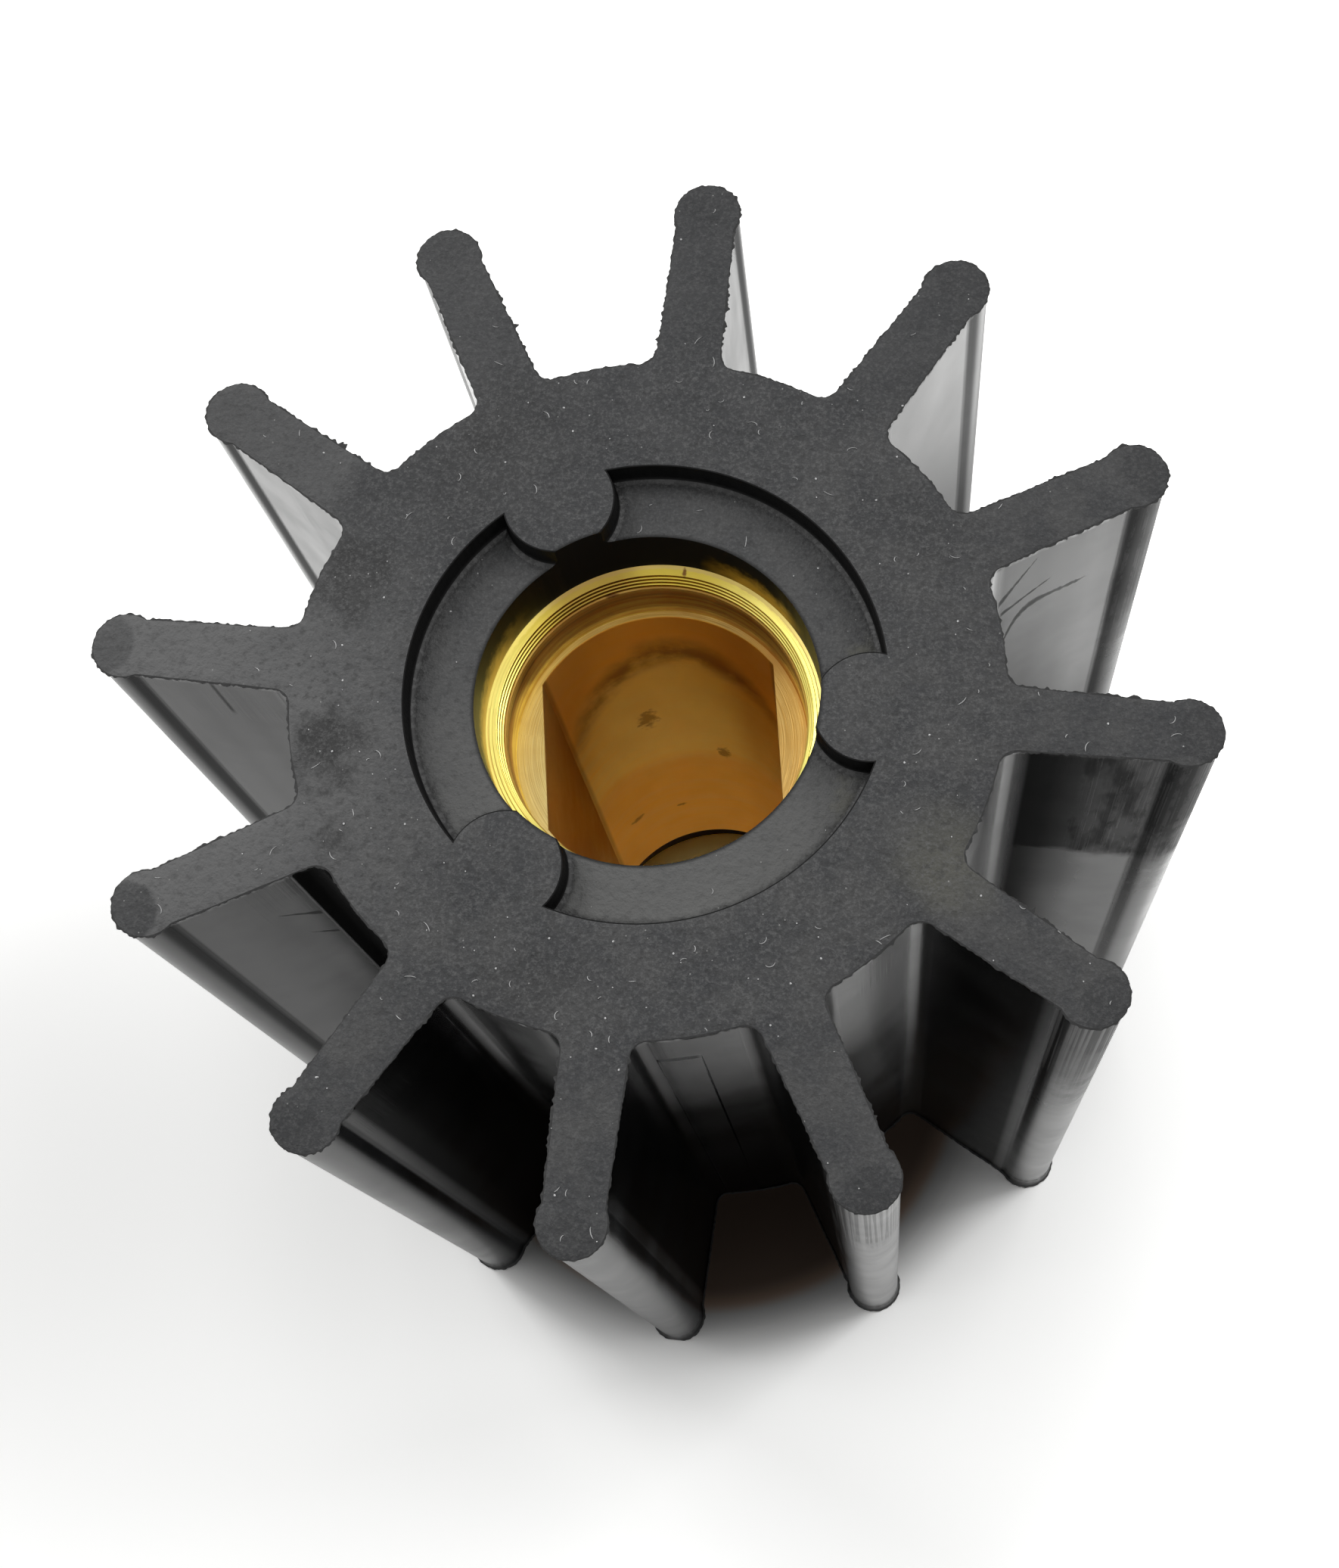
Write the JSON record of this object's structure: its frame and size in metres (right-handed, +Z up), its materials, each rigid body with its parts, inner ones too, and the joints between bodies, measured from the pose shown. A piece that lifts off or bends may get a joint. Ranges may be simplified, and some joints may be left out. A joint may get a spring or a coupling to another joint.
{
  "type": "pump impeller",
  "caption": "Flexible-vane pump impeller: a rubber hub with beaded straight vanes round a brass insert with a double-flat bore.",
  "frame": {"origin": "centre of the lower end face, on the shaft axis", "axes": "+Z up along the shaft axis, out of the end with the arc recesses; +X along the middle of one vane"},
  "size_m": [0.0952, 0.0952, 0.0848],
  "materials": {
    "black_rubber": "moulded matt end faces, satin flanks",
    "turned_brass": "lathe-turned, with fine concentric tool marks"
  },
  "bodies": {
    "root": {"rubber_impeller": "black_rubber", "brass_insert": "turned_brass"}
  },
  "joints": []
}
